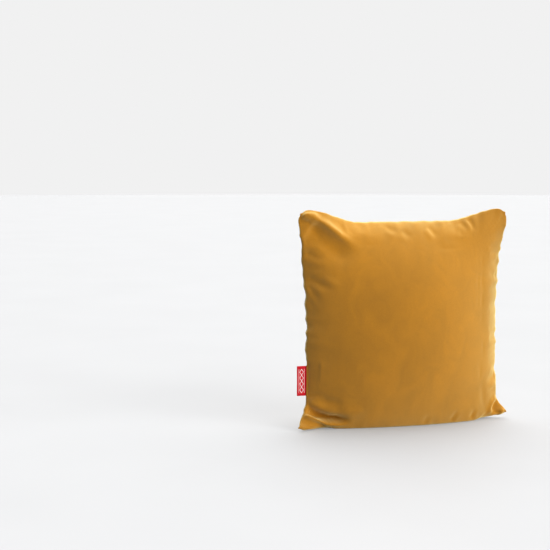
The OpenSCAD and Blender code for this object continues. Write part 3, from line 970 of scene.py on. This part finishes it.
def make_ribbon(name, points, body, slot, node, thickness=RIBBON):
    """A ribbon over a grid of its middle points, points[along][across]."""
    rows, columns = points.shape[:2]
    number = np.arange(rows * columns).reshape(rows, columns)
    faces = grid_faces(number, False)
    obj = mesh_object(name, points.reshape(-1, 3), faces, body, slot)
    thicken(obj, thickness, offset=0)
    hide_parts(node)


def make_side_label():
    """Ribbon folded into a loop: out from the seam, round the fold and back."""
    height = LABEL_HIGH.z - LABEL_LOW.z
    reach = LABEL_HIGH.x - LABEL_LOW.x
    inset = RIBBON / 2 + 0.05 * MM
    t = np.linspace(-1, 1, 41)
    across = np.linspace(0, 1, 25)
    out = 1 - np.abs(t) ** 2.6
    half_open = LOOP_OPEN + LOOP_BELLY * np.sin(np.pi * np.abs(t)) * (np.abs(t) < 1)
    x = LABEL_HIGH.x - (reach - inset) * out
    y = np.sign(t) * half_open * np.minimum(1, np.abs(t) / 0.25) ** 0.7
    grid = np.zeros((len(t), len(across), 3))
    wave = LOOP_WAVE * np.sin(2 * np.pi * across * 1.3 + 0.6)
    grid[..., 0] = x[:, None]
    grid[..., 1] = y[:, None] + (out**2)[:, None] * wave
    grid[..., 2] = LABEL_LOW.z + height * across
    make_ribbon("side_label_loop", grid, "side_label", "red_ribbon", "side_label")


def make_label_tail():
    """The label's two ends, which lie together between the allowances."""
    low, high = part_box("side_label_tail")
    x = np.linspace(low.x, high.x, 9)
    z = np.linspace(low.z, high.z, 21)
    grid = np.zeros((2, len(x), len(z), 3))
    for half, side, along in ((0, -1, x), (1, 1, x[::-1])):
        grid[half, ..., 0] = along[:, None]
        grid[half, ..., 1] = side * (high.y - RIBBON / 2)
        grid[half, ..., 2] = z
    grid = grid.reshape(-1, len(z), 3)
    make_ribbon("side_label_ends", grid, "cushion", "red_ribbon", "side_label_tail")


def patch_on(surface, side, centre, half, depth, cells=(10, 14)):
    """A grid of points at a depth behind a panel, round a centre (u, v)."""
    u = centre[0] + half[0] * np.linspace(-1, 1, cells[0] + 1)
    v = centre[1] + half[1] * np.linspace(-1, 1, cells[1] + 1)
    u, v = np.meshgrid(u, v, indexing="ij")
    return sample(surface, u, v) - unit(sample(normals_of(surface, side), u, v)) * depth


def make_inner_labels():
    """The care label inside the front panel, and the pad's label on the back of its casing."""
    care = patch_on(COVER["front"], -1, (-0.72, -0.35), (0.10, 0.11), 2.2 * MM)
    make_ribbon("care_ribbon", care, "cushion", "white_ribbon", "care_label")
    pad = patch_on(COVER["back"], 1, (0.50, 0.28), (0.08, 0.12), 2.4 * MM)
    make_ribbon("pad_ribbon", pad[::-1], "cushion", "white_ribbon", "pad_label")


def make_tapes():
    """The zip's two tapes, which ripple a little along their length."""
    for node in ("zip_tape_front", "zip_tape_back"):
        low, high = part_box(node)
        x = np.linspace(low.x, high.x, 81)
        y = np.linspace(low.y, high.y, 9)
        grid = np.zeros((len(x), len(y), 3))
        grid[..., 0], grid[..., 1] = x[:, None], y
        grid[..., 2] = (low.z + high.z) / 2 + 0.05 * MM * np.sin(x * 260)[:, None]
        make_ribbon(node + "_strip", grid, "cushion", "zip_tape", node, TAPE)


# ---------------------------------------------------------------- sewing

THREAD = 0.28 * MM
STITCH, STITCH_GAP = 3.4 * MM, 1.4 * MM
# How deep in the allowances the seams' stitches run
COVER_STITCH_DEPTH, PAD_STITCH_DEPTH = 3 * MM, 2 * MM


def line_at(place, lengths, values):
    """The values of a line's points at a distance along it."""
    return np.array([np.interp(place, lengths, column) for column in values.T])


def sew(name, lines, slot, nodes, sides=6, steps=4):
    """Stitches along lines. Each line is points and the way off the cloth at each of them."""
    vertices, faces = [], []
    for points, off in lines:
        lengths = np.concatenate([[0], np.cumsum(np.linalg.norm(np.diff(points, axis=0), axis=1))])
        for start in np.arange(0, lengths[-1] - STITCH, STITCH + STITCH_GAP):
            base = len(vertices)
            for k in range(steps + 1):
                share = k / steps
                place = start + STITCH * share
                centre = line_at(place, lengths, points)
                away = unit(line_at(place, lengths, off))
                forward = unit(line_at(place + MM, lengths, points) - centre + 1e-9)
                across = unit(np.cross(forward, away))
                rise = THREAD * (1.5 * math.sin(math.pi * share) - 0.6)
                radius = THREAD * (0.55 + 0.45 * math.sin(math.pi * share))
                for m in range(sides):
                    angle = 2 * math.pi * m / sides
                    ring = across * math.cos(angle) + away * math.sin(angle)
                    vertices.append(centre + away * rise + ring * radius)
            for k in range(steps):
                for m in range(sides):
                    a, b = base + k * sides + m, base + k * sides + (m + 1) % sides
                    faces.append((a, b, b + sides, a + sides))
            faces.append(tuple(base + m for m in reversed(range(sides))))
            faces.append(tuple(base + steps * sides + m for m in range(sides)))
    obj = mesh_object(name, vertices, faces, "cushion", slot)
    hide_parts(*nodes)


def runs_of(wanted):
    """Stretches of a ring where wanted is true, as lists of places, none across the start."""
    runs, run = [], []
    for place, good in enumerate(wanted):
        if good:
            run.append(place)
        elif run:
            runs.append(run)
            run = []
    return [r for r in runs + [run] if len(r) > 3]


def seam_lines(seam, depth, aside):
    """Lines for the stitches that close a seam, on the inner faces of both allowances."""
    sewn = (seam["zip"] < 0.02) & (seam["slit"] < 0.02) & (seam["deepest"] > depth * 1.6)
    lines = []
    for run in runs_of(sewn):
        for side in (-1, 1):
            off = side * seam["front"][run]
            lines.append((seam["at"][run] - depth * seam["out"][run] + aside * off, off))
    return lines


def make_sewing():
    """The stitches of the cover's seams, of the pad's seam, and those that hold the zip's tapes."""
    cover_lines = seam_lines(COVER["seam"], COVER_STITCH_DEPTH, THREAD + VELVET)
    sew("seam_thread", cover_lines, "cover_thread", ["cover_seam_stitches"])
    pad_lines = seam_lines(PAD_SEAM, PAD_STITCH_DEPTH, 0.15 * MM + CAMBRIC)
    sew("pad_thread", pad_lines, "pad_thread", ["pad_seam_stitches"])
    low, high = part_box("zip_stitches")
    x = np.linspace(low.x, high.x, 40)
    lines = []
    for side in (-1, 1):
        points = np.stack([x, 0 * x + side * (high.y - THREAD), 0 * x + low.z + 0.1 * MM], -1)
        lines.append((points, np.tile([0.0, 0.0, 1.0], (len(x), 1))))
    sew("zip_thread", lines, "cover_thread", ["zip_stitches"])


# ---------------------------------------------------------------- the zip's hard parts

def finish_hard_parts():
    """Gives the CAD nodes that stay their materials, and breaks their edges."""
    for node, slot, edge in (
        ("zip_teeth_front", "zip_coil", 0.12 * MM),
        ("zip_teeth_back", "zip_coil", 0.12 * MM),
        ("zip_top_stops", "zip_metal", 0.2 * MM),
        ("zip_bottom_stop", "zip_metal", 0.2 * MM),
        ("zip_slider", "zip_metal", 0.15 * MM),
        ("zip_pull", "zip_metal", 0.2 * MM),
    ):
        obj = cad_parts[node]
        obj.data.materials.clear()
        obj.data.materials.append(MATERIALS[slot])
        bevel = obj.modifiers.new("edges", "BEVEL")
        bevel.width = edge
        bevel.segments = 2
        bevel.limit_method = "ANGLE"


make_side_label()
make_label_tail()
make_inner_labels()
make_tapes()
make_sewing()
finish_hard_parts()


# ---------------------------------------------------------------- stage, lights and camera

# The world's strength: what lights the pillow, and what the camera sees behind it
AMBIENT, BACKDROP = 0.06, 0.88
FLOOR_RADIUS = 14
CAMERA_LENS = 85
CAMERA_PLACE = (-0.961, -2.452, 0.554)
CAMERA_DOWN, CAMERA_TURN = 5.47, -15.73


def make_stage():
    """A plain floor, and a plain pale world around it."""
    bm = bmesh.new()
    bmesh.ops.create_circle(bm, cap_ends=True, segments=96, radius=FLOOR_RADIUS)
    mesh = bpy.data.meshes.new("floor")
    bm.to_mesh(mesh)
    bm.free()
    floor = collection_add(bpy.data.objects.new("floor", mesh))
    floor.location.z = -0.2 * MM
    mesh.materials.append(floor_paint())
    world = bpy.data.worlds.new("studio")
    world.use_nodes = True
    tree = world.node_tree
    seen = tree.nodes.new("ShaderNodeLightPath").outputs["Is Camera Ray"]
    level = tree.nodes.new("ShaderNodeMapRange")
    level.inputs[3].default_value, level.inputs[4].default_value = AMBIENT, BACKDROP
    tree.links.new(seen, level.inputs[0])
    tree.links.new(level.outputs[0], tree.nodes["Background"].inputs[1])
    tree.nodes["Background"].inputs[0].default_value = (1, 1, 1, 1)
    bpy.context.scene.world = world
    bpy.context.scene.view_settings.view_transform = "Standard"


def sun_light(name, place, spread, strength):
    """A soft light from the way of place, as wide as spread in degrees."""
    light = bpy.data.lights.new(name, "SUN")
    light.angle = math.radians(spread)
    light.energy = strength
    obj = collection_add(bpy.data.objects.new(name, light))
    obj.rotation_euler = Vector(place).to_track_quat("Z", "Y").to_euler()


def make_lights():
    sun_light("key", (1.5, -1.15, 0.9), 30, 1.85)
    sun_light("top", (0.22, 0.42, 1.0), 75, 6.6)
    sun_light("fill", (1.1, -2.3, 0.8), 45, 2.25)


def make_camera():
    camera = bpy.data.cameras.new("camera")
    camera.lens = CAMERA_LENS
    camera.sensor_width = 36
    obj = collection_add(bpy.data.objects.new("camera", camera))
    obj.location = CAMERA_PLACE
    obj.rotation_euler = (math.radians(90 - CAMERA_DOWN), 0, math.radians(CAMERA_TURN))
    bpy.context.scene.camera = obj


make_stage()
make_lights()
make_camera()
